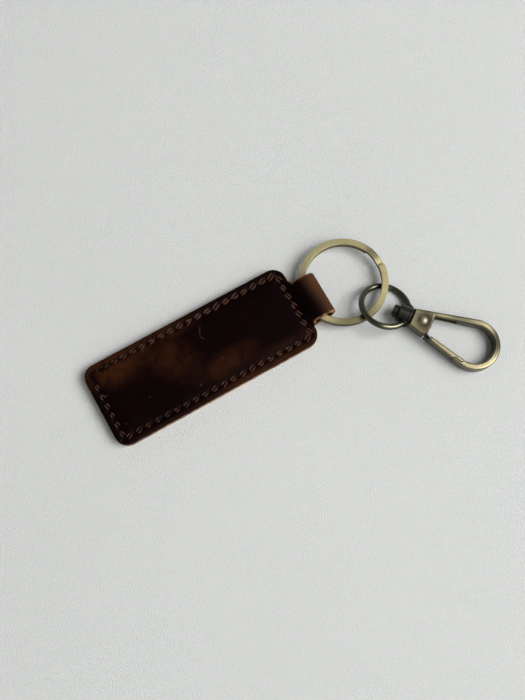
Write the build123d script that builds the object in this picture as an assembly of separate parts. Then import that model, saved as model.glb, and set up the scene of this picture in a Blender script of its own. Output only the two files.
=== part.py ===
from build123d import *
import os
from math import acos, asin, atan2, cos, degrees, hypot, pi, radians, sin, sqrt, tan

# Leather key fob with a split ring and a swivel snap hook, lying on a table.
#
# Millimetres and degrees. X runs along the fob towards the ring and Z is up. The origin
# is the middle of the fob's back face, which lies on the table at Z = 0.
# The ring, the swivel and the hook lie beside it as they would fall: linked through one
# another, the eye and the hook propped on the table at a slight angle.

os.makedirs("parts", exist_ok=True)

# ---- driving sizes ----
# leather: one dog-bone strip folded in half round the split ring
fob_length = 74.4
fob_width = 29.4
corner_radius = 4.5
panel_thickness = 2.0
glue_line = 0.1
neck_shoulder = 1.4
neck_offset = -1.2
neck_reach = 8.5
neck_slack = 1.9
shoulder_straight = 0.1
neck_thickness = 1.4
neck_root = 1.2
mouth_flare = 1.0

# stitching: a lockstitch through both panels, in a sunk track
stitch_inset = 2.6
stitch_pitch = 3.45
stitch_width = 2.2
stitch_neck = 1.1
stitch_taper = 0.85
stitch_hole = 1.0
needle_bed = 0.25
needle_height = 0.6
bobbin_bed = 0.65
bobbin_height = 0.5
thread_slack = 0.05

# split ring: two turns of flat wire, its upper turn stepping down to the lower one
ring_diameter = 30.0
ring_band = 2.2
coil_thickness = 1.15
coil_gap = 0.05
coil_edge = 0.2
ramp_start = 22.0
ramp_angle = 27.0
ramp_steps = 8
ramp_gap = 2.0
ring_clearance = 0.05

# swivel eye: a round wire ring whose ends are held in a barrel
eye_radius = 8.15
eye_wire = 2.0
eye_reach = 9.2
wire_end_gap = 2.2
barrel_diameter = 6.4
barrel_length = 4.4
barrel_edge = 0.25
flange_diameter = 6.9
flange_length = 0.6
boss_diameter = 2.9
boss_reach = 3.9

# how the eye and the hook lie beside the split ring
link_azimuth = -61.0
link_offset = 2.2
link_clearance = 0.37
hook_azimuth = -53.7

# swivel rivet
shank_diameter = 2.6
running_clearance = 0.05
end_play = 0.15
rivet_head_diameter = 4.4
rivet_head_length = 1.7
rivet_head_edge = 0.5
inner_head_diameter = 3.8
inner_head_length = 0.7

# snap hook: a flat teardrop with a slot for the gate's tongue
hook_thickness = 4.2
base_width = 6.0
base_wall = 1.7
base_length = 7.1
inner_base_width = 6.4
bow_centre = 22.4
bow_radius = 8.55
bow_band = 2.15
edge_rounding = 0.6
slot_height = 2.2
slot_wall = 1.3
groove_end = 14.6
groove_depth = 0.8

# gate, its rivet and its spring; places along the hook's limb are measured from its base
pivot_x = 3.94
pivot_y = 0.38
cheek_end = 6.4
gate_start = 8.2
gate_eye_diameter = 4.2
gate_neck_width = 1.8
tongue_thickness = 1.2
gate_clearance = 0.3
heel_width = 0.8
nose_start = 17.7
nose_lap = 3.2
nose_slant = 0.7
gate_rivet_diameter = 1.8
dome_diameter = 3.3
dome_height = 0.85
tail_diameter = 2.8
tail_height = 0.4
spring_wire = 0.34
spring_gap = 0.02
spring_bore = 2.3
spring_turns = 2
spring_leg_reach = 1.6
spring_seat_depth = 0.7

# how far a cutting shape runs past the face that it opens
overrun = 1.0

# ---- sizes worked out from them ----
ON_END = (Align.CENTER, Align.CENTER, Align.MIN)
fob_thickness = 2 * panel_thickness + glue_line
fob_end = fob_length / 2
neck_width = fob_width - 2 * (corner_radius + neck_shoulder + abs(neck_offset))
neck_ease = neck_shoulder - shoulder_straight
ring_thickness = 2 * coil_thickness + coil_gap
ring_radius = ring_diameter / 2
band_radius = ring_radius - ring_band / 2
ring_inner = ring_radius - ring_band

# inside the loop the ring's band is bowed, and it turns about the middle of that bow
mouth_half = neck_width / 2 - mouth_flare
bow_depth = sqrt(ring_inner**2 - mouth_half**2)
swing_reach = (bow_depth + ring_radius) / 2
swing_radius = hypot((ring_radius - bow_depth) / 2, ring_thickness / 2)
tunnel_radius = swing_radius + ring_clearance
mouth_bow = swing_reach - sqrt(ring_inner**2 - (neck_width / 2) ** 2)
mouth_radius = hypot(mouth_bow, ring_thickness / 2) + ring_clearance
swing_x = fob_end + neck_reach - neck_thickness - tunnel_radius - neck_slack
swing_z = neck_thickness + tunnel_radius
ring_x = swing_x + swing_reach

# seen from above, the eye's wire crosses the split ring's band at two points
link_distance = band_radius + link_offset
crossing_depth = (link_distance**2 + eye_radius**2 - band_radius**2) / (2 * link_distance)
crossing_half = sqrt(eye_radius**2 - crossing_depth**2)
link_turn = radians(hook_azimuth - link_azimuth)
low_side = crossing_half * cos(link_turn) + crossing_depth * sin(link_turn)
high_side = crossing_half * cos(link_turn) - crossing_depth * sin(link_turn)

# the eye rolls until the ring passes over its low side and under its high side
eye_roll = asin((eye_wire + ring_thickness + 2 * link_clearance) / (low_side + high_side))
# the eye's wire or the barrel's flange rests on the table, and so does the bow's tip
hook_reach = bow_centre + bow_radius
eye_on_wire = eye_wire / 2 + eye_radius * sin(eye_roll)
eye_on_flange = flange_diameter / 2 + eye_reach * (flange_diameter - hook_thickness) / 2 / hook_reach
eye_z = max(eye_on_wire, eye_on_flange)
hook_slope = asin((eye_z - hook_thickness / 2) / (eye_reach + hook_reach))
eye_x = ring_x + link_distance * cos(radians(link_azimuth))
eye_y = neck_offset + link_distance * sin(radians(link_azimuth))

# the split ring tips until it passes midway between the eye's two sides
crossing_z = eye_z + (high_side - low_side) / 2 * sin(eye_roll)
ring_rise = degrees(atan2(crossing_z - swing_z, eye_x - swing_x))

swing_frame = Location((swing_x, neck_offset, swing_z)) * Rot(0, -ring_rise, 0)
ring_frame = swing_frame * Pos(swing_reach, 0, 0)
hook_turn = Rot(0, 0, hook_azimuth) * Rot(0, degrees(hook_slope), 0)
hook_frame = Location((eye_x, eye_y, eye_z)) * hook_turn * Pos(eye_reach, 0, 0)
eye_frame = hook_frame * Rot(-degrees(eye_roll), 0, 0)
wire_end_angle = degrees(asin(wire_end_gap / eye_radius))

# the spring lies on the gate's tongue, between the slot's floor and roof
tongue_floor = -slot_height / 2 + running_clearance
spring_floor = tongue_floor + tongue_thickness + running_clearance + spring_wire / 2
coil_radius = (spring_bore + spring_wire) / 2


# ---- the folded leather ----
def panel(bottom):
    outline = RectangleRounded(fob_length, fob_width, corner_radius)
    return Pos(0, 0, bottom) * extrude(outline, panel_thickness)


def loop_face(start_z, floor, radius):
    """The loop from the side: it rises from the root, runs level and folds back underneath."""
    root = Line((fob_end - neck_root, floor), (fob_end - neck_root, start_z))
    rounds = [Pos(x, swing_z) * Circle(radius) for x in (swing_x, swing_x + neck_slack)]
    return make_hull(ShapeList([root.edge()]) + rounds[0].edges() + rounds[1].edges())


def neck_outline():
    """The folded strip from above, its neck eased where it leaves the panel."""
    outline = RectangleRounded(fob_length, fob_width, corner_radius)
    outline += Pos(fob_end, neck_offset) * Rectangle(2 * neck_reach, neck_width)
    corners = outline.vertices().group_by(Axis.X)[-2].sort_by(Axis.Y)[1:-1]
    return fillet(corners, neck_ease)


def folded_leather():
    outer = loop_face(fob_thickness, 0, tunnel_radius + neck_thickness)
    inner = loop_face(panel_thickness, neck_thickness, tunnel_radius)
    middle = Plane.XZ.offset(-neck_offset)
    leather = panel(0) + panel(panel_thickness + glue_line)
    leather += extrude(middle * outer, neck_width, both=True) & extrude(neck_outline(), fob_width)
    leather -= extrude(middle * inner, neck_width, both=True)
    mouth = Cone(tunnel_radius, mouth_radius, mouth_flare, align=ON_END)
    for side in (-1, 1):
        leather -= Pos(swing_x, neck_offset + side * mouth_half, swing_z) * Rot(-side * 90, 0, 0) * mouth
    gap_length = fob_length - neck_root / 2
    gap = Box(gap_length, fob_width, glue_line, align=(Align.MIN, Align.CENTER, Align.MIN))
    return leather - Pos(-fob_end, 0, panel_thickness) * gap


# ---- stitching ----
def stitch_holes():
    """Hole centres round the row, in order, starting at the far lower corner."""
    half_length = fob_length / 2 - stitch_inset
    half_width = fob_width / 2 - stitch_inset
    corners = [(-1, -1), (1, -1), (1, 1), (-1, 1)]
    holes = []
    for i in range(4):
        x0, y0 = corners[i][0] * half_length, corners[i][1] * half_width
        x1, y1 = corners[i - 3][0] * half_length, corners[i - 3][1] * half_width
        count = round(hypot(x1 - x0, y1 - y0) / stitch_pitch)
        for k in range(count):
            holes.append((x0 + (x1 - x0) * k / count, y0 + (y1 - y0) * k / count))
    return holes


def stitch_bead(start, end):
    """One stitch seen from above: narrow at its two holes and full between them."""
    length = hypot(end[0] - start[0], end[1] - start[1])
    turn = degrees(atan2(end[1] - start[1], end[0] - start[0]))
    half, tip = stitch_width / 2, stitch_neck / 2
    upper = [(0, tip), (stitch_taper, half), (length - stitch_taper, half), (length, tip)]
    lower = [(x, -y) for x, y in reversed(upper)]
    bead = make_face(Polyline(*upper, *lower, close=True))
    return Pos(start[0], start[1]) * Rot(0, 0, turn) * bead


def stitch_row():
    beads = [stitch_bead(holes[i - 1], holes[i]) for i in range(len(holes))]
    knots = [Pos(x, y) * Circle(stitch_neck / 2) for x, y in holes]
    return Sketch() + beads + knots


def stitch_bed(depth):
    """The sunk track that a row of stitches lies in."""
    grow = stitch_width + 2 * thread_slack
    length, width = fob_length - 2 * stitch_inset, fob_width - 2 * stitch_inset
    track = Rectangle(length + grow, width + grow) - Rectangle(length - grow, width - grow)
    return extrude(track, depth)


def thread_legs(bottom, top):
    post = Cylinder(stitch_hole / 2 - thread_slack, top - bottom, align=ON_END)
    return [Pos(x, y, bottom) * post for x, y in holes]


def needle_thread():
    bottom = fob_thickness - needle_bed
    beads = Pos(0, 0, bottom) * extrude(row, needle_height)
    return beads + thread_legs(fob_thickness / 2, bottom + needle_height / 2)


def bobbin_thread():
    bottom = bobbin_bed - bobbin_height
    beads = Pos(0, 0, bottom) * extrude(row, bobbin_height)
    return beads + thread_legs(bottom + bobbin_height / 2, fob_thickness / 2)


def sewn(leather):
    """The leather with its holes and with the tracks for both threads."""
    drill = Cylinder(stitch_hole / 2, fob_thickness, align=ON_END)
    leather -= [Pos(x, y) * drill for x, y in holes]
    leather -= Pos(0, 0, fob_thickness - needle_bed) * stitch_bed(needle_bed)
    return leather - stitch_bed(bobbin_bed)


# ---- the split ring ----
def wire_section(height):
    """The flat wire's section in the XZ plane, its long edges eased."""
    section = Rectangle(ring_band, coil_thickness)
    section = chamfer(section.vertices(), coil_edge)
    return Plane.XZ * Pos(band_radius, height) * section


def split_ring():
    top = (coil_thickness + coil_gap) / 2
    turn = 360 - ramp_angle
    upper = revolve(Rot(0, 0, ramp_start) * wire_section(top), Axis.Z, turn)
    lower = revolve(Rot(0, 0, ramp_start + ramp_gap) * wire_section(-top), Axis.Z, turn - ramp_gap)
    sections = []
    for k in range(ramp_steps + 1):
        share = k / ramp_steps
        section = wire_section(top * cos(pi * share))
        sections.append(Rot(0, 0, ramp_start - ramp_angle * share) * section)
    ramp = loft([s.face() for s in sections], ruled=True)
    return upper + ramp + lower


# ---- the swivel: its eye, its barrel and its rivet, along the hook's X axis ----
def eye_ring():
    """A round wire ring about the eye's centre, left open inside the barrel."""
    section = Plane.XZ * Pos(eye_radius, 0) * Circle(eye_wire / 2)
    wire = revolve(Rot(0, 0, wire_end_angle) * section, Axis.Z, 360 - 2 * wire_end_angle)
    return Pos(-eye_reach, 0, 0) * wire


def rod(diameter, start, end):
    """A cylinder on the swivel's axis."""
    return Pos(start, 0, 0) * Rot(0, 90, 0) * Cylinder(diameter / 2, end - start, align=ON_END)


def swivel_barrel():
    back, front = -end_play - barrel_length, -end_play
    barrel = rod(barrel_diameter, back, front) + rod(flange_diameter, front - flange_length, front)
    rims = barrel.edges().filter_by(GeomType.CIRCLE).group_by(Axis.X)
    barrel = chamfer(rims[0] + rims[-1], barrel_edge)
    entry = sqrt(eye_radius**2 - (barrel_diameter / 2) ** 2) - eye_reach
    barrel += Pos(entry, 0, 0) * Rot(90, 0, 0) * Cylinder(boss_diameter / 2, 2 * boss_reach)
    barrel -= rod(shank_diameter + 2 * running_clearance, back - overrun, front + overrun)
    return barrel - eye_ring()


def inner_head():
    """The rivet's countersunk head, flush with the floor of the hook's slot."""
    head = Cone(shank_diameter / 2, inner_head_diameter / 2, inner_head_length, align=ON_END)
    return Pos(base_wall - inner_head_length, 0, 0) * Rot(0, 90, 0) * head


def swivel_rivet():
    head_end = -2 * end_play - barrel_length
    head = rod(rivet_head_diameter, head_end - rivet_head_length, head_end)
    head = chamfer(head.edges().group_by(Axis.X)[0], rivet_head_edge)
    return head + rod(shank_diameter, head_end - rivet_head_length / 2, base_wall) + inner_head()


# ---- the snap hook ----
def teardrop(base_x, base_half, radius):
    """The hull of the hook's flat base and its round bow."""
    base = Line((base_x, -base_half), (base_x, base_half))
    bow = Pos(bow_centre, 0) * Circle(radius)
    return make_hull(ShapeList([base.edge()]) + bow.edges())


def limb_slope(base_x, base_half, radius):
    """The angle between a teardrop's straight side and the hook's axis."""
    return asin(radius / hypot(bow_centre - base_x, base_half)) - atan2(base_half, bow_centre - base_x)


def limb_point(along, across):
    """A point by its distance along the gate's limb and inwards from the limb's outer edge."""
    slope = limb_slope(0, base_width / 2, bow_radius)
    x = along * cos(slope) + across * sin(slope)
    return x, -base_width / 2 - along * sin(slope) + across * cos(slope)


def limb_window(start):
    """The gate's stretch of the limb, from start to the lapped nose, past both its edges."""
    outside, middle, inside = -bow_band / 2, bow_band / 2, 1.5 * bow_band
    points = [
        (start, outside),
        (nose_start - nose_slant, outside),
        (nose_start + nose_slant, middle),
        (nose_start + nose_lap, middle),
        (nose_start + nose_lap + 2 * nose_slant, inside),
        (start, inside),
    ]
    return make_face(Polyline(*[limb_point(*p) for p in points], close=True))


def slab(face, bottom, top):
    return Pos(0, 0, bottom) * extrude(face, top - bottom)


def hook_plate():
    """The whole teardrop, before the gate is cut out of it."""
    outer = teardrop(0, base_width / 2, bow_radius)
    inner = teardrop(base_length, inner_base_width / 2, bow_radius - bow_band)
    ring = slab(outer - inner, -hook_thickness / 2, hook_thickness / 2)
    return fillet(ring.faces().filter_by(Axis.Z).edges(), edge_rounding)


def slot_face():
    """The slot: a room for the gate's tongue, its way out of the base, and the spine's groove."""
    deep = 3 * base_width
    walls = offset(teardrop(0, base_width / 2, bow_radius), -slot_wall)
    room_length = base_length - base_wall + overrun
    room = Pos(base_wall, 0) * Rectangle(room_length, deep, align=(Align.MIN, Align.CENTER))
    groove = offset(teardrop(base_length, inner_base_width / 2, bow_radius - bow_band), groove_depth)
    spine_side = Rectangle(groove_end, deep, align=(Align.MIN, Align.MIN))
    return (room & (walls + offset(tongue_face(), gate_clearance))) + (groove & spine_side)


def hook_body():
    gate_room = offset(limb_window(cheek_end), gate_clearance)
    body = plate - slab(gate_room, -hook_thickness, hook_thickness)
    body -= slab(slot_face(), -slot_height / 2, slot_height / 2)
    body -= rod(shank_diameter, -overrun, base_wall) + inner_head()
    return body - at_pivot(Cylinder(gate_rivet_diameter / 2, 2 * hook_thickness))


# ---- the gate, its rivet and its spring ----
def at_pivot(shape, height=0):
    return Pos(pivot_x, pivot_y, height) * shape


def tongue_face():
    """The tongue from above: an eye on the rivet that narrows to the start of the bar."""
    tip = limb_point(gate_start + gate_neck_width / 2, bow_band / 2)
    root = at_pivot(Circle(gate_eye_diameter / 2))
    end = Pos(*tip) * Circle(gate_neck_width / 2)
    return make_hull(root.edges() + end.edges())


def gate_heel():
    """The bar's outer edge, which runs on to the base beside the tongue."""
    outside = -bow_band / 2
    ends = [(cheek_end, outside), (gate_start, outside), (gate_start, heel_width), (cheek_end, heel_width)]
    return make_face(Polyline(*[limb_point(*p) for p in ends], close=True))


def gate():
    tongue = slab(tongue_face(), tongue_floor, tongue_floor + tongue_thickness)
    bar = slab(limb_window(gate_start) + gate_heel(), -hook_thickness, hook_thickness)
    bore = at_pivot(Cylinder(gate_rivet_diameter / 2 + running_clearance, 2 * hook_thickness))
    return (plate & (bar + tongue)) - bore - spring_socket()


def gate_rivet():
    half = hook_thickness / 2
    shank = at_pivot(Cylinder(gate_rivet_diameter / 2, hook_thickness))
    crown = (dome_diameter**2 / 4 + dome_height**2) / (2 * dome_height)
    cap = Pos(0, 0, crown - dome_height) * Cylinder(dome_diameter, 2 * dome_height, align=ON_END)
    dome = at_pivot(Sphere(crown) & cap, half + dome_height - crown)
    tail = at_pivot(Cylinder(tail_diameter / 2, tail_height, align=ON_END), -half - tail_height)
    return shank + dome + tail


def spine_seat():
    """Where the spring's lower leg bears on the wall of the spine's groove."""
    slope = limb_slope(base_length, inner_base_width / 2, bow_radius - bow_band)
    depth = groove_depth - spring_wire / 2 - running_clearance
    rise = spring_leg_reach * tan(slope) + depth / cos(slope)
    return base_length + spring_leg_reach, inner_base_width / 2 + rise


def bar_seat():
    """Where the spring's upper leg ends, in a hole in the gate's bar."""
    return limb_point(gate_start + spring_seat_depth, bow_band / 2)


def coil_end(side):
    """The angle at which a leg leaves the coil: the lower one at side 1, the upper at -1."""
    x, y = spine_seat() if side > 0 else bar_seat()
    reach = hypot(x - pivot_x, y - pivot_y)
    return atan2(y - pivot_y, x - pivot_x) + side * acos(coil_radius / reach)


def coil_turn():
    return coil_end(-1) - coil_end(1) + 2 * pi * spring_turns


def spring_top():
    return spring_floor + (spring_wire + spring_gap) * coil_turn() / (2 * pi)


def spring_socket():
    """The hole in the gate's bar, drilled along the line of the spring's upper leg."""
    x = pivot_x + coil_radius * cos(coil_end(-1))
    y = pivot_y + coil_radius * sin(coil_end(-1))
    along, across = bar_seat()[0] - x, bar_seat()[1] - y
    depth = hypot(along, across) + running_clearance
    drill = Rot(0, 90, 0) * Cylinder(spring_wire / 2 + running_clearance, depth, align=ON_END)
    return Pos(x, y, spring_top()) * Rot(0, 0, degrees(atan2(across, along))) * drill


def gate_spring():
    """A torsion spring: one leg in the spine's groove, one in the gate's bar."""
    coil = Helix(spring_wire + spring_gap, spring_top() - spring_floor, coil_radius)
    coil = at_pivot(Rot(0, 0, degrees(coil_end(1))) * coil, spring_floor)
    lower = Line((*spine_seat(), spring_floor), coil @ 0)
    upper = Line(coil @ 1, (*bar_seat(), spring_top()))
    path = Wire([lower.edge(), coil.edge(), upper.edge()])
    section = Plane(path @ 0, z_dir=path % 0) * Circle(spring_wire / 2)
    return sweep(section, path, is_frenet=True, transition=Transition.RIGHT)


holes = stitch_holes()
row = stitch_row()
plate = hook_plate()
pieces = {
    "folded_leather": sewn(folded_leather()),
    "needle_thread": needle_thread(),
    "bobbin_thread": bobbin_thread(),
    "split_ring": ring_frame * split_ring(),
    "swivel_ring": eye_frame * eye_ring(),
    "swivel_barrel": eye_frame * swivel_barrel(),
    "swivel_rivet": hook_frame * swivel_rivet(),
    "hook_body": hook_frame * hook_body(),
    "gate": hook_frame * gate(),
    "gate_rivet": hook_frame * gate_rivet(),
    "gate_spring": hook_frame * gate_spring(),
}
for name, piece in pieces.items():
    export_step(piece, f"parts/{name}.step")
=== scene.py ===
from math import atan2, cos, pi, radians, sin, sqrt

import bmesh
import bpy
import numpy as np
from mathutils import Matrix, Vector, noise


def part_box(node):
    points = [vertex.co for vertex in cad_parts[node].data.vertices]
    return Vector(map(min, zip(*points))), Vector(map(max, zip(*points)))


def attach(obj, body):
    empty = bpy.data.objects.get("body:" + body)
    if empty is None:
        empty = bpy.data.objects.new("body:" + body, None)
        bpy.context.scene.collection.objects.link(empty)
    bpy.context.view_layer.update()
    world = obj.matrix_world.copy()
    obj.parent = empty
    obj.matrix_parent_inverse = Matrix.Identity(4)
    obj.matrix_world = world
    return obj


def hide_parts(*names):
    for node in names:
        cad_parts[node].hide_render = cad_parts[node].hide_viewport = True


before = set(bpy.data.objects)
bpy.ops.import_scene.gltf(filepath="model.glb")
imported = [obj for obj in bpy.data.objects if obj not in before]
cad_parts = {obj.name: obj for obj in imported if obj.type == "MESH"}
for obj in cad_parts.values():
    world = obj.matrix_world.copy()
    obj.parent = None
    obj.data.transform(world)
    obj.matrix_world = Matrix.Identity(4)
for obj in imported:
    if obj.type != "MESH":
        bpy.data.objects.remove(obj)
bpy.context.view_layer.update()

bpy.ops.object.select_all(action="DESELECT")
mm = 0.001


# ---- the folded leather ----
# One dog-bone strip of waxed pull-up leather, folded in half round the split ring. The two
# panels are glued and sewn back to back, with burnished rims and a raw lower edge. The
# narrow neck between them bulges into the loop that holds the ring.
leather_low, leather_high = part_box("folded_leather")
fob_end = -leather_low[0]
fob_side = leather_high[1]
fob_top = 4.1 * mm
seam_height = fob_top / 2
corner_radius = 4.5 * mm
front_rim = 0.9 * mm
back_rim = 0.45 * mm
neck_middle = -1.2 * mm
neck_half = 7.6 * mm
neck_thickness = 1.4 * mm
neck_slack = 1.9 * mm
neck_ease = 1.3 * mm
neck_rim = 0.3 * mm
loop_outer = leather_high[2] / 2
fold_x = leather_high[0] - loop_outer
ring_side_x = fold_x - neck_slack
tunnel_radius = loop_outer - neck_thickness
mouth_flare = 1.1 * mm
mouth_radius = 3.08 * mm
stitch_inset = 2.6 * mm
stitch_pitch = 3.45 * mm
stitch_x = fob_end - stitch_inset
stitch_y = fob_side - stitch_inset


def finish_mesh(name):
    """Names the active object, bakes its place into its mesh and gives it back."""
    piece = bpy.context.object
    piece.name = name
    piece.data.name = name
    bpy.ops.object.transform_apply(location=True, rotation=True, scale=True)
    return piece


def choose(first, *others):
    """Selects just these objects, and makes the first one active."""
    bpy.ops.object.select_all(action="DESELECT")
    for piece in (first, *others):
        piece.select_set(True)
    bpy.context.view_layer.objects.active = first


def pick(kind, test):
    """In edit mode, selects just the vertices, edges or faces that pass a test."""
    bpy.ops.mesh.select_all(action="DESELECT")
    bpy.ops.mesh.select_mode(type={"verts": "VERT", "edges": "EDGE", "faces": "FACE"}[kind])
    mesh = bmesh.from_edit_mesh(bpy.context.object.data)
    for element in getattr(mesh, kind):
        if test(element):
            element.select_set(True)
    mesh.select_flush_mode()
    bmesh.update_edit_mesh(bpy.context.object.data)


def apply_modifier(kind, **settings):
    """Adds a modifier to the active object, sets it and applies it."""
    modifier = bpy.context.object.modifiers.new(kind.lower(), kind)
    for key, value in settings.items():
        setattr(modifier, key, value)
    bpy.ops.object.modifier_apply(modifier=modifier.name)


# the two panels: a flat slab with round corners and softened rims
hair = 0.001 * mm
bpy.ops.mesh.primitive_plane_add(size=1)
bpy.ops.object.mode_set(mode="EDIT")
bpy.ops.transform.resize(value=(2 * fob_end, 2 * fob_side, 1))
bpy.ops.mesh.bevel(offset=corner_radius, segments=10, affect="VERTICES")
bpy.ops.mesh.extrude_region_move(TRANSFORM_OT_translate={"value": (0, 0, fob_top)})
bpy.ops.mesh.select_all(action="SELECT")
bpy.ops.mesh.normals_make_consistent()
for height, softness in ((fob_top, front_rim), (0, back_rim)):
    pick("edges", lambda e: all(abs(v.co.z - height) < hair for v in e.verts))
    bpy.ops.mesh.bevel(offset=softness, segments=4, affect="EDGES")
bpy.ops.object.mode_set(mode="OBJECT")
slab = finish_mesh("slab")

# the neck: a strap run out from the lower panel, folded back over the ring and down again
roof_angle = radians(66)
roof_slope = 2.2 * mm
tail_length, tail_drop = 1.2 * mm, 0.2 * mm
strap_start = fob_end - 3 * mm
ease_steps = 5
bpy.ops.object.select_all(action="DESELECT")
bpy.ops.mesh.primitive_plane_add(size=1, rotation=(0, pi / 2, 0))
bpy.ops.object.transform_apply(location=False, rotation=True, scale=False)
bpy.ops.object.mode_set(mode="EDIT")
bpy.ops.transform.resize(value=(1, 2 * neck_half, neck_thickness))
bpy.ops.transform.translate(value=(strap_start, neck_middle, neck_thickness / 2))


def run_on(along, up=0.0):
    """The strap's open end goes on straight."""
    bpy.ops.mesh.extrude_region_move(TRANSFORM_OT_translate={"value": (along, 0, up)})


def bend_round(middle_x, angle, steps):
    """The strap's open end turns round an axis across the neck, at the loop's middle height."""
    middle = (middle_x, 0, loop_outer)
    bpy.ops.mesh.spin(steps=steps, angle=angle, center=middle, axis=(0, 1, 0))


run_on(fob_end - strap_start)
for _ in range(ease_steps):
    run_on(neck_ease / ease_steps)
run_on(fold_x - fob_end - neck_ease)
bend_round(fold_x, pi, 24)
run_on(-neck_slack)
bend_round(ring_side_x, roof_angle, 10)
run_on(-roof_slope * cos(roof_angle), -roof_slope * sin(roof_angle))
run_on(-tail_length, -tail_drop)
bpy.ops.mesh.select_all(action="SELECT")
bpy.ops.mesh.remove_doubles(threshold=hair)
bpy.ops.mesh.normals_make_consistent()
pick("edges", lambda e: e.calc_face_angle(0) > 1 and all(
    abs(abs(v.co.y - neck_middle) - neck_half) < hair for v in e.verts))
bpy.ops.mesh.bevel(offset=neck_rim, segments=2, affect="EDGES")
bpy.ops.object.mode_set(mode="OBJECT")
strap = finish_mesh("strap")

# the neck widens in a quarter round where it meets the panels
for vertex in strap.data.vertices:
    depth = min(max(fob_end + neck_ease - vertex.co.x, 0), neck_ease)
    flare = neck_ease - sqrt(neck_ease**2 - depth**2)
    vertex.co.y += flare if vertex.co.y > neck_middle else -flare

# slab and strap are one skin, remeshed fine enough for the relief of the sewing
skin_cell = 0.3 * mm
root_shift, root_reach, root_height = 0.1 * mm, 1.5 * mm, 3.4 * mm
choose(slab, strap)
bpy.ops.object.join()
leather = finish_mesh("leather_strip")
apply_modifier("REMESH", mode="VOXEL", voxel_size=skin_cell)
apply_modifier("SMOOTH", factor=0.5, iterations=3)
root = leather.vertex_groups.new(name="root")
root.add([v.index for v in leather.data.vertices
          if abs(v.co.x - fob_end - root_shift) < root_reach and v.co.z > root_height
          and abs(v.co.y - neck_middle) < neck_half + neck_ease], 1.0, "REPLACE")
apply_modifier("SMOOTH", factor=0.5, iterations=14, vertex_group="root")
leather.vertex_groups.clear()


def stitch_holes():
    """Hole centres round the row, in order, starting at a corner of the outer end."""
    corners = [(-stitch_x, -stitch_y), (stitch_x, -stitch_y),
               (stitch_x, stitch_y), (-stitch_x, stitch_y)]
    found = []
    for i in range(4):
        start, end = Vector(corners[i]), Vector(corners[i - 3])
        count = round((end - start).length / stitch_pitch)
        found += [start.lerp(end, k / count) for k in range(count)]
    return found


holes = stitch_holes()


def smooth(low, high, value):
    """0 up to low, 1 from high on, and an even slope between."""
    t = np.clip((value - low) / (high - low), 0, 1)
    return t * t * (3 - 2 * t)


def row_distance(x, y):
    """Signed distance from the stitched rectangle, positive outside it."""
    dx, dy = np.abs(x) - stitch_x, np.abs(y) - stitch_y
    outside = np.hypot(np.maximum(dx, 0), np.maximum(dy, 0))
    return outside + np.minimum(np.maximum(dx, dy), 0)


def smooth_noise(points, scale, seed):
    """Smooth noise at each point, about -1 to 1, with features about 1 / scale metres wide."""
    shift = Vector((seed * 11.3, seed * 5.7, seed * 7.9))
    return np.array([noise.noise(Vector(p) * scale + shift) for p in points])


# the sculpting: the loop's flared mouths, the sunk track, the soft rims and the seam
track_depth, track_width = 0.24 * mm, 0.95 * mm
pucker_depth, pucker_width = 0.28 * mm, 0.62 * mm
puff_height, rim_fall = 0.20 * mm, 0.10 * mm
unevenness, grain = 0.07 * mm, 0.012 * mm
back_track_depth, back_rise = 0.62 * mm, 0.06 * mm
seam_depth, seam_width, fibre_depth = 0.26 * mm, 0.26 * mm, 0.05 * mm
count = len(leather.data.vertices)
points = np.empty(3 * count)
leather.data.vertices.foreach_get("co", points)
points = points.reshape(-1, 3)
normals = np.empty(3 * count)
leather.data.vertex_normals.foreach_get("vector", normals)
normals = normals.reshape(-1, 3)
x, y, z = points.T.copy()
from_middle = np.abs(y - neck_middle)
opened = np.clip((from_middle - neck_half + mouth_flare) / mouth_flare, 0, 1)
clear = tunnel_radius + opened * (mouth_radius - tunnel_radius)
away = np.hypot(x - ring_side_x, z - loop_outer)
inside = (opened > 0) & (from_middle < neck_half + 0.2 * mm) & (away < clear)
spread = np.where(inside, clear / np.maximum(away, 0.1 * mm), 1)
x = ring_side_x + (x - ring_side_x) * spread
z = loop_outer + (z - loop_outer) * spread
in_neck = from_middle < neck_half + 0.3 * mm
on_panel = 1 - smooth(fob_end - 1.2 * mm, fob_end + 0.3 * mm, x) * in_neck
from_row = row_distance(x, y)
upper = smooth(0.3, 0.8, normals[:, 2]) * smooth(3.0 * mm, 3.4 * mm, z) * on_panel
lower = smooth(0.3, 0.8, -normals[:, 2]) * (1 - smooth(0.4 * mm, 0.9 * mm, z)) * on_panel
valley = np.exp(-((from_row / track_width) ** 2))
puff = smooth(0.6 * mm, 4.5 * mm, -from_row)
rim = smooth(1.0 * mm, 2.6 * mm, from_row)
pull = np.zeros(count)
for hole in holes:
    near = np.hypot(x - hole.x, y - hole.y)
    pull = np.maximum(pull, np.exp(-((near / pucker_width) ** 2)))
slow = smooth_noise(points, 130, 1)
quick = smooth_noise(points, 700, 2)
relief = puff_height * puff - track_depth * valley - pucker_depth * pull - rim_fall * rim
relief += unevenness * slow + grain * quick
z += upper * relief + lower * (back_track_depth * valley + back_rise)

# the seam between the panels and the fibres of the cut edge
side = smooth(0.5, 0.9, np.hypot(normals[:, 0], normals[:, 1])) * on_panel * (from_row > 1.5 * mm)
seam = np.exp(-(((z - seam_height) / seam_width) ** 2))
inset = side * (seam_depth * seam + fibre_depth * (quick + slow))
x -= normals[:, 0] * inset
y -= normals[:, 1] * inset
leather.data.vertices.foreach_set("co", np.stack([x, y, z], axis=1).ravel())
leather.data.update()

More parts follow.
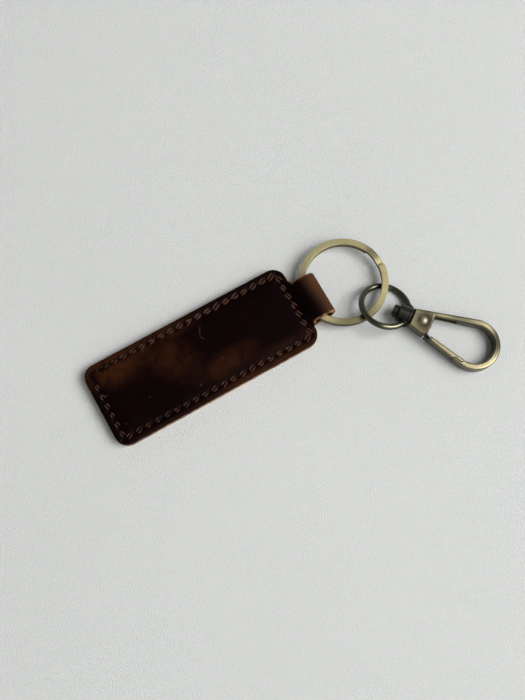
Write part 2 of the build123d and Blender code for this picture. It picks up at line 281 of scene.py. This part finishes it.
# where the cut edge shows its fibres: low on the panels' sides and along the neck
neck_edge = smooth(neck_half - 0.55 * mm, neck_half - 0.25 * mm,
                   np.abs(y - neck_middle) + 0.1 * mm * slow)
neck_edge *= smooth(fob_end - 0.3 * mm, fob_end + 0.3 * mm, x)
raw = side * (1 - smooth(seam_height + 0.5 * mm, seam_height + 0.9 * mm, z + 0.25 * mm * slow))
raw = np.maximum(raw, neck_edge)


def store(piece, name, values):
    """Keeps one number per vertex on the mesh, for its material to read."""
    layer = piece.data.attributes.new(name, "FLOAT", "POINT")
    layer.data.foreach_set("value", np.ascontiguousarray(values, dtype=np.float32))


past_end = x - fob_end
store(leather, "raw_edge", raw)
store(leather, "pressed", np.maximum(valley, pull) * upper)
store(leather, "seam", side * seam)
store(leather, "neck", smooth(0, 1 * mm, past_end))
store(leather, "stretch", smooth(2.2 * mm, 7.8 * mm,
                                 past_end + 0.06 * (y - neck_middle) + 0.6 * mm * slow))
store(leather, "rim", smooth(0.8 * mm, 2.2 * mm, from_row) * on_panel)


def new_material(name):
    """An empty node material: its tree and its Principled shader."""
    made = bpy.data.materials.new(name)
    made.use_nodes = True
    return made, made.node_tree, made.node_tree.nodes["Principled BSDF"]


def add(tree, kind, inputs=(), **settings):
    """One node with its settings, and its inputs set or linked. Gives back its first output."""
    new = tree.nodes.new("ShaderNode" + kind)
    for key, value in settings.items():
        setattr(new, key, value)
    for key, value in dict(inputs).items():
        if isinstance(value, bpy.types.NodeSocket):
            tree.links.new(value, new.inputs[key])
        else:
            new.inputs[key].default_value = value
    return new.outputs[0]


def math(tree, operation, a, b=0.0, clamp=False):
    return add(tree, "Math", {0: a, 1: b}, operation=operation, use_clamp=clamp)


def plus(tree, a, b, clamp=False):
    return math(tree, "ADD", a, b, clamp)


def times(tree, a, b):
    return math(tree, "MULTIPLY", a, b)


def larger(tree, a, b):
    return math(tree, "MAXIMUM", a, b)


def colour_mix(tree, factor, first, second):
    """The first colour at factor 0, the second at factor 1."""
    new = tree.nodes.new("ShaderNodeMix")
    new.data_type = "RGBA"
    for index, value in ((0, factor), (6, first), (7, second)):
        if isinstance(value, bpy.types.NodeSocket):
            tree.links.new(value, new.inputs[index])
        else:
            new.inputs[index].default_value = value
    return new.outputs[2]


def ramp(tree, factor, stops):
    """A colour ramp from (place, value or colour) stops."""
    new = tree.nodes.new("ShaderNodeValToRGB")
    tree.links.new(factor, new.inputs[0])
    while len(new.color_ramp.elements) < len(stops):
        new.color_ramp.elements.new(0.5)
    for element, (place, value) in zip(new.color_ramp.elements, stops):
        element.position = place
        element.color = value if isinstance(value, tuple) else (value, value, value, 1)
    return new.outputs[0]


def attribute(tree, name):
    """One of the numbers kept on the mesh."""
    new = tree.nodes.new("ShaderNodeAttribute")
    new.attribute_name = name
    return new.outputs["Fac"]


def object_place(tree, stretch=(1, 1, 1), turn=(0, 0, 0)):
    """Object coordinates, stretched and turned."""
    place = tree.nodes.new("ShaderNodeTexCoord").outputs["Object"]
    return add(tree, "Mapping", {"Vector": place, "Scale": stretch, "Rotation": turn})


def noise_at(tree, place, scale, detail=3.0, rough=0.5, distort=0.0):
    """A noise pattern, finer as its scale grows."""
    return add(tree, "TexNoise", {"Vector": place, "Scale": scale, "Detail": detail,
                                  "Roughness": rough, "Distortion": distort})


def patch_at(tree, centre, size, turn=0.0):
    """A soft elliptical patch, 1 in the middle and 0 at its rim; centre and size are in mm."""
    middle = (centre[0] * mm, centre[1] * mm, 0)
    shift = add(tree, "VectorMath", {0: object_place(tree), 1: middle}, operation="SUBTRACT")
    turned = add(tree, "Mapping", {"Vector": shift, "Rotation": (0, 0, turn)})
    narrowed = (1 / (size[0] * mm), 1 / (size[1] * mm), 0)
    flat = add(tree, "Mapping", {"Vector": turned, "Scale": narrowed})
    length = add(tree, "VectorMath", {0: flat}, operation="LENGTH").node.outputs["Value"]
    return add(tree, "MapRange", {0: length, 1: 0.15, 2: 1.0, 3: 1.0, 4: 0.0},
               interpolation_type="SMOOTHSTEP")


# the leather's colours and its brighter, rubbed clouds: centre, size (mm), turn and strength
near_black = (0.0031, 0.0005, 0.0007, 1)
warm_brown = (0.034, 0.0098, 0.0030, 1)
light_brown = (0.070, 0.029, 0.0135, 1)
raw_tan = (0.36, 0.21, 0.105, 1)
scuff_colour = (0.05, 0.028, 0.024, 1)
rubbed_clouds = [
    ((-29, 11), (19, 9), 0.15, 1.0),
    ((-14, 12.5), (26, 5), 0.0, 0.9),
    ((-9, 4), (17, 9), 1.0, 0.65),
    ((6, -6.5), (16, 6), -0.1, 0.6),
    ((24, -11), (14, 3.5), 0.0, 0.45),
    ((16, -13.6), (28, 3), 0.0, 0.7),
    ((35, -11.5), (7, 6), 0.0, 0.5),
]


def leather_material():
    """Waxed leather: near black, with rubbed clouds, a pale neck and a raw cut edge."""
    made, tree, shader = new_material("waxed_leather")
    place = object_place(tree)
    clouds = noise_at(tree, place, 55, 4, 0.55, 0.6)
    mottle = noise_at(tree, place, 420, 4, 0.6)
    worn = noise_at(tree, place, 170, 5, 0.65, 0.8)
    pores = add(tree, "TexVoronoi", {"Vector": place, "Scale": 2600})
    creases = noise_at(tree, object_place(tree, (1, 3.2, 1), (0, 0, 0.6)), 240, 5, 0.7, 1.2)

    # the panels: rubbed clouds and a rubbed rim, with a darker outer end
    lift = 0.0
    for centre, size, turn, strength in rubbed_clouds:
        lift = larger(tree, lift, times(tree, patch_at(tree, centre, size, turn), strength))
    lift = times(tree, lift, ramp(tree, worn, [(0.36, 0.3), (0.58, 1.0)]))
    lift = plus(tree, lift, times(tree, attribute(tree, "rim"), 0.16))
    outer_end = patch_at(tree, (-38, -6), (9, 20))
    lift = math(tree, "SUBTRACT", lift, times(tree, outer_end, 0.3))
    lift = plus(tree, lift, times(tree, worn, 0.14))
    body = colour_mix(tree, plus(tree, lift, -0.06, True), near_black, warm_brown)

    # a shallow hooked scratch and a few pin-head scuffs
    scratch = larger(tree, patch_at(tree, (3.4, 7.4), (2.6, 0.42), -1.07),
                     patch_at(tree, (2.9, 4.9), (1.3, 0.42), 0.96))
    scuffs = ramp(tree, noise_at(tree, place, 620, 1, 0.3), [(0.77, 0.0), (0.83, 0.5)])
    scratch = larger(tree, times(tree, scratch, 0.5), scuffs)
    body = colour_mix(tree, scratch, body, scuff_colour)

    # the neck pales where it is stretched, the sewing's track and the seam are dark, and the
    # cut edge is raw
    paled = times(tree, attribute(tree, "stretch"), ramp(tree, clouds, [(0.2, 0.7), (0.7, 1.0)]))
    neck = colour_mix(tree, paled, near_black, light_brown)
    body = colour_mix(tree, attribute(tree, "neck"), body, neck)
    body = colour_mix(tree, times(tree, attribute(tree, "pressed"), 0.85), body, near_black)
    fibre = colour_mix(tree, ramp(tree, mottle, [(0.35, 0.0), (0.65, 1.0)]), light_brown, raw_tan)
    body = colour_mix(tree, attribute(tree, "raw_edge"), body, fibre)
    body = colour_mix(tree, times(tree, attribute(tree, "seam"), 0.8), body, near_black)
    tree.links.new(body, shader.inputs["Base Color"])

    rough = add(tree, "MapRange", {0: clouds, 1: 0.3, 2: 0.7, 3: 0.40, 4: 0.56})
    rough = plus(tree, rough, times(tree, attribute(tree, "raw_edge"), 0.35))
    tree.links.new(rough, shader.inputs["Roughness"])
    shader.inputs["Specular IOR Level"].default_value = 0.03
    height = plus(tree, times(tree, creases, 0.35), times(tree, pores, 0.25))
    height = plus(tree, height, times(tree, mottle, 0.5))
    bump = add(tree, "Bump", {"Height": height, "Strength": 0.32, "Distance": 0.12 * mm})
    tree.links.new(bump, shader.inputs["Normal"])
    return made


def dress(piece, material):
    """Gives a piece its one material."""
    piece.data.materials.clear()
    piece.data.materials.append(material)


dress(leather, leather_material())
choose(leather)
bpy.ops.object.shade_smooth()
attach(leather, "fob")
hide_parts("folded_leather")


# ---- the stitching ----
# A lockstitch of heavy waxed thread, sewn twice through the same holes. Each stitch is a pair
# of plump strands that part between two holes, pulled down into the leather at both ends.
strand_half = 1.25 * mm
thread_radius = 0.35 * mm
strand_bow = radians(34)
strand_offset, offset_change = 0.45 * mm, 0.14 * mm
strand_shift, shift_change = 0.22 * mm, 0.3 * mm
strand_turn, turn_change = 0.3, 0.55
depth_change = 0.14 * mm
least_sink, extra_sink = 0.12 * mm, 0.36 * mm
thinnest, fuller = 0.66, 0.46
front_level = fob_top - 0.02 * mm
back_level = 0.42 * mm
thread_dark = (0.004, 0.0015, 0.0010, 1)
thread_pale = (0.10, 0.042, 0.024, 1)


def strand_material():
    """Waxed thread: plies that wind round each strand, and tones that drift along the row."""
    made, tree, shader = new_material("waxed_thread")
    turns = tree.nodes.new("ShaderNodeUVMap").outputs[0]
    turns = add(tree, "Mapping", {"Vector": turns, "Scale": (3, 5, 1), "Rotation": (0, 0, 0.6)})
    ply = add(tree, "TexWave", {"Vector": turns, "Scale": 1.2, "Distortion": 0.6, "Detail": 1.0})
    fluff = noise_at(tree, object_place(tree), 900, 3, 0.6)
    tone = noise_at(tree, object_place(tree), 60, 2, 0.5)
    shade = times(tree, ramp(tree, ply, [(0.1, 0.35), (0.7, 1.0)]),
                  ramp(tree, tone, [(0.3, 0.5), (0.7, 1.0)]))
    tree.links.new(colour_mix(tree, shade, thread_dark, thread_pale), shader.inputs["Base Color"])
    shader.inputs["Roughness"].default_value = 0.6
    shader.inputs["Specular IOR Level"].default_value = 0.15
    height = plus(tree, ply, times(tree, fluff, 0.4))
    bump = add(tree, "Bump", {"Height": height, "Strength": 0.6, "Distance": 0.1 * mm})
    tree.links.new(bump, shader.inputs["Normal"])
    return made


def strand(bend):
    """One plump strand lying along X, bowed to one side and pointed at both ends."""
    bpy.ops.object.select_all(action="DESELECT")
    bpy.ops.mesh.primitive_uv_sphere_add(
        segments=10, ring_count=12, radius=1, rotation=(0, pi / 2, 0))
    bpy.ops.object.transform_apply(location=False, rotation=True, scale=False)
    bpy.ops.object.mode_set(mode="EDIT")
    bpy.ops.transform.resize(value=(strand_half, thread_radius, 0.8 * thread_radius))
    bpy.ops.object.mode_set(mode="OBJECT")
    apply_modifier("SIMPLE_DEFORM", deform_method="BEND", deform_axis="Z", angle=bend)
    bpy.ops.object.shade_smooth()
    return bpy.context.object


def pull_down(place):
    """How far a stitch sinks: deepest along the far long side, towards the outer end."""
    along = min(max((place.x + 34 * mm) / (26 * mm), 0), 1)
    far = min(max(place.y / (12 * mm), 0), 1)
    return least_sink + extra_sink * far * (1 - along)


def plumpness(place):
    """How thick and long the stitches are drawn: fullest at the far corner by the neck."""
    share = 0.5 + place.x / (4 * fob_end) + place.y / (4 * fob_side)
    return thinnest + fuller * min(max(share, 0), 1)


def sew(name, level, up, node):
    """A whole row: a pair of strands for each stitch, joined into one piece."""
    strands = []
    for side in (-1, 1):
        model = strand(side * strand_bow)
        for i, hole in enumerate(holes):
            start, end = holes[i - 1], hole
            along = (end - start).normalized()
            across = Vector((-along.y, along.x))
            wobble = noise.noise(Vector((i * 3.7, side * 9.1, up * 5.3)))
            middle = start.lerp(end, 0.5) - across * side * (strand_offset + offset_change * wobble)
            middle += along * (side * strand_shift + shift_change * wobble)
            angle = atan2(along.y, along.x) + strand_turn + turn_change * wobble
            depth = level - up * pull_down(middle) + depth_change * wobble
            full = plumpness(middle)
            size = (full * (1 + 0.5 * wobble), full * (1 - 0.35 * wobble), full, 1)
            copy = model.copy()
            copy.data = model.data.copy()
            bpy.context.scene.collection.objects.link(copy)
            copy.data.transform(Matrix.Translation((middle.x, middle.y, depth))
                                @ Matrix.Rotation(angle, 4, "Z") @ Matrix.Diagonal(size))
            strands.append(copy)
        bpy.data.objects.remove(model)
    choose(*strands)
    bpy.ops.object.join()
    row = finish_mesh(name)
    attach(row, "fob")
    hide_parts(node)
    return row


thread_look = strand_material()
upper_row = sew("stitches_front", front_level, 1, "needle_thread")
lower_row = sew("stitches_back", back_level, -1, "bobbin_thread")
for row in (upper_row, lower_row):
    dress(row, thread_look)


# ---- the metal parts ----
# Split ring, swivel and snap hook: zinc castings and steel wire with an antique plating that
# is rubbed bright on what stands proud and stays dark with patina in the hollows. Its colour also
# carries painted light: painted highlights on flats and edges, and painted shade on side walls,
# in gaps and in patches.
hollow_reach = 1.2 * mm
crease_angle = radians(35)


def plated_material(name, bright, dark, rough, walls=0.3, dark_patches=(), edge_radius=0.2 * mm):
    """Antique plating with painted light: painted highlights on flats and edges, painted shade on
    side walls, and patina and painted shade in hollows and in patches.
    """
    made, tree, shader = new_material(name)
    shut = tree.nodes.new("ShaderNodeAmbientOcclusion")
    shut.samples = 8
    shut.inputs["Distance"].default_value = hollow_reach
    soft = add(tree, "Bevel", {"Radius": edge_radius}, samples=4)
    sharp = tree.nodes.new("ShaderNodeNewGeometry").outputs["Normal"]
    turned = add(tree, "VectorMath", {0: soft, 1: sharp}, operation="DOT_PRODUCT")
    # painted highlight: where the bevelled normal turns from the true one, the edge is drawn
    # bright, partly as wear that rubs proud edges and partly as the light that edges catch
    edge = add(tree, "MapRange", {
        0: turned.node.outputs["Value"], 1: 0.99, 2: 0.90, 3: 0.0, 4: 1.0})
    normal = tree.nodes.new("ShaderNodeTexCoord").outputs["Normal"]
    facing = add(tree, "SeparateXYZ", {"Vector": normal}).node.outputs["Z"]
    # painted shade: faces that stand up, told by the normal, keep only the walls share of the
    # bright plating, so side walls are drawn darker than flats
    flat_share = add(tree, "MapRange", {
        0: math(tree, "ABSOLUTE", facing), 1: 0.3, 2: 0.8, 3: walls, 4: 1.0})
    place = object_place(tree)
    clouds = noise_at(tree, place, 160, 4, 0.6)
    specks = noise_at(tree, place, 2600, 3, 0.7)
    scratches = noise_at(tree, object_place(tree, (1, 14, 1), (0, 0, 0.7)), 900, 3, 0.6)
    # this mix is partly rubbed wear (clouds and specks) and partly painted light (the walls'
    # painted shade, the patches and the edges' painted highlight)
    wear_and_painted_light = times(tree, flat_share, ramp(tree, clouds, [(0.3, 0.75), (0.65, 1.0)]))
    wear_and_painted_light = times(tree, wear_and_painted_light, ramp(tree, specks, [(0.25, 0.8), (0.5, 1.0)]))
    # each patch darkens the colour and the edges' painted highlight
    for centre, size, turn, strength in dark_patches:
        darkened = times(tree, patch_at(tree, centre, size, turn), strength)
        kept = math(tree, "SUBTRACT", 1.0, darkened)
        wear_and_painted_light = times(tree, wear_and_painted_light, kept)
        edge = times(tree, edge, kept)
    wear_and_painted_light = larger(tree, wear_and_painted_light, times(tree, edge, 0.75))
    # hollows go dark: patina that the plating keeps there, and painted shade in gaps and round the
    # heads
    wear_and_painted_light = times(tree, wear_and_painted_light, ramp(tree, shut.outputs["AO"], [(0.55, 0.0), (0.98, 1.0)]))
    tree.links.new(colour_mix(tree, wear_and_painted_light, dark, bright), shader.inputs["Base Color"])
    shader.inputs["Metallic"].default_value = 1.0
    roughness = add(tree, "MapRange", {0: wear_and_painted_light, 1: 0.0, 2: 1.0, 3: rough + 0.04, 4: rough})
    tree.links.new(roughness, shader.inputs["Roughness"])
    height = plus(tree, times(tree, scratches, 0.6), times(tree, specks, 0.4))
    bump = add(tree, "Bump", {
        "Height": height, "Strength": 0.12, "Distance": 0.04 * mm, "Normal": soft})
    tree.links.new(bump, shader.inputs["Normal"])
    return made


# dark patches on the plating: centre, size (mm), turn and strength; painted shade, with patina only
# on the hook's base
# painted shade, listed in order: the ring's side by the loop, its lower side, and the step between
# its coils
ring_painted_shade = [
    ((39.5, 4), (9, 13), 0.0, 0.5),
    ((50, -15), (16, 7), 0.0, 0.6),
    ((66.6, 1.8), (4.5, 4.5), 0.0, 0.9),
]
# patina on the base round the rivet, then painted shade: in the notch between body and gate, along
# the spine, and on the bow's outer right limb
hook_patina_and_painted_shade = [
    ((69.5, -26.5), (7, 7), 0.0, 0.92),
    ((67.0, -31.0), (2.6, 2.6), 0.0, 1.0),
    ((80, -32), (10, 4), 0.9, 0.55),
    ((87, -43.5), (10, 4), -1.07, 0.9),
]
ring_look = plated_material(
    "antique_brass_ring", (0.66, 0.575, 0.305, 1), (0.03, 0.025, 0.014, 1), 0.42,
    walls=0.0, dark_patches=ring_painted_shade, edge_radius=0.1 * mm)
hook_look = plated_material(
    "antique_brass_hook", (0.38, 0.335, 0.195, 1), (0.024, 0.021, 0.014, 1), 0.32,
    dark_patches=hook_patina_and_painted_shade)
rivet_look = plated_material(
    "antique_brass_rivet", (0.40, 0.36, 0.25, 1), (0.03, 0.027, 0.018, 1), 0.46, walls=1.0)
# painted shade: the swivel eye is the plating drawn darker, for the dark room that it reflects
eye_painted_dark_look = plated_material(
    "eye_plating_painted_dark", (0.17, 0.165, 0.11, 1), (0.014, 0.014, 0.010, 1), 0.20, walls=0.1)
# painted shade: the swivel barrel and its riveted head are the plating drawn near black, for the
# shade they lie in
barrel_painted_shade_look = plated_material(
    "barrel_plating_painted_shade", (0.055, 0.053, 0.045, 1), (0.008, 0.008, 0.007, 1), 0.34)
steel_look = plated_material(
    "spring_steel", (0.5, 0.5, 0.5, 1), (0.2, 0.2, 0.2, 1), 0.3, walls=1.0)
for node, look in (
    ("split_ring", ring_look),
    ("swivel_ring", eye_painted_dark_look),
    ("swivel_barrel", barrel_painted_shade_look),
    ("swivel_rivet", barrel_painted_shade_look),
    ("hook_body", hook_look),
    ("gate", hook_look),
    ("gate_rivet", rivet_look),
    ("gate_spring", steel_look),
):
    dress(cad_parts[node], look)
    choose(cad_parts[node])
    bpy.ops.object.shade_smooth_by_angle(angle=crease_angle)


# ---- the table, the light and the camera ----
# A pale, finely pebbled table top, wide enough to fill the view behind the piece. One broad
# soft window lights it from the right, and a dim room fills the shadows.
table_gap = 0.02 * mm
table_low = (0.68, 0.693, 0.68, 1)
table_high = (0.70, 0.713, 0.70, 1)
bpy.ops.object.select_all(action="DESELECT")
bpy.ops.mesh.primitive_plane_add(size=4, location=(0, 0, -table_gap))
table = finish_mesh("table_top")
made, tree, shader = new_material("pale_table")
pebble = noise_at(tree, object_place(tree), 2300, 4, 0.65)
broad = noise_at(tree, object_place(tree), 9, 2, 0.5)
tone = colour_mix(tree, ramp(tree, broad, [(0.3, 0.0), (0.7, 1.0)]), table_low, table_high)
tree.links.new(tone, shader.inputs["Base Color"])
shader.inputs["Roughness"].default_value = 0.9
shader.inputs["Specular IOR Level"].default_value = 0.1
bump = add(tree, "Bump", {"Height": pebble, "Strength": 0.9, "Distance": 0.5 * mm})
tree.links.new(bump, shader.inputs["Normal"])
dress(table, made)

# the lights: a window and the room's own light, both turned to the middle of the piece
light_aim = Vector((0.02, 0, 0))


def soft_light(name, place, size, power):
    """A soft square light that faces the object."""
    bpy.ops.object.light_add(type="AREA", location=place)
    lamp = bpy.context.object
    lamp.name = name
    lamp.data.shape = "SQUARE"
    lamp.data.size = size
    lamp.data.energy = power
    lamp.rotation_euler = (light_aim - Vector(place)).to_track_quat("-Z", "Y").to_euler()


soft_light("window_light", (1.19, -0.80, 1.67), 1.5, 55)
soft_light("room_light", (0.25, -1.5, 1.4), 1.8, 10)

# the room: pale walls round the table, and a dim ceiling, as a ramp from low to overhead
world = bpy.data.worlds.new("room")
bpy.context.scene.world = world
world.use_nodes = True
room = world.node_tree
height = add(room, "SeparateXYZ", {"Vector": object_place(room)}).node.outputs["Z"]
shade = ramp(room, height, [(0.0, 0.66), (0.15, 0.55), (0.4, 0.26), (0.8, 0.12)])
room.links.new(shade, room.nodes["Background"].inputs["Color"])

# the camera: nearly overhead, turned so that the fob runs up to the right
camera_place = Vector((-21.15, -78.69, 327.35)) * mm
forward = Vector((0.118, 0.211, -0.970)).normalized()
away_on_table = Vector((0.4907, 0.8713, 0))
right = forward.cross(away_on_table).normalized()
up = right.cross(forward)
turned = Matrix((right, up, -forward)).transposed().to_4x4()
bpy.ops.object.camera_add()
camera = bpy.context.object
camera.matrix_world = Matrix.Translation(camera_place) @ turned
camera.data.lens = 52.46
camera.data.sensor_width = 36
camera.data.clip_start = 0.01
bpy.context.scene.camera = camera
bpy.context.scene.view_settings.view_transform = "Standard"
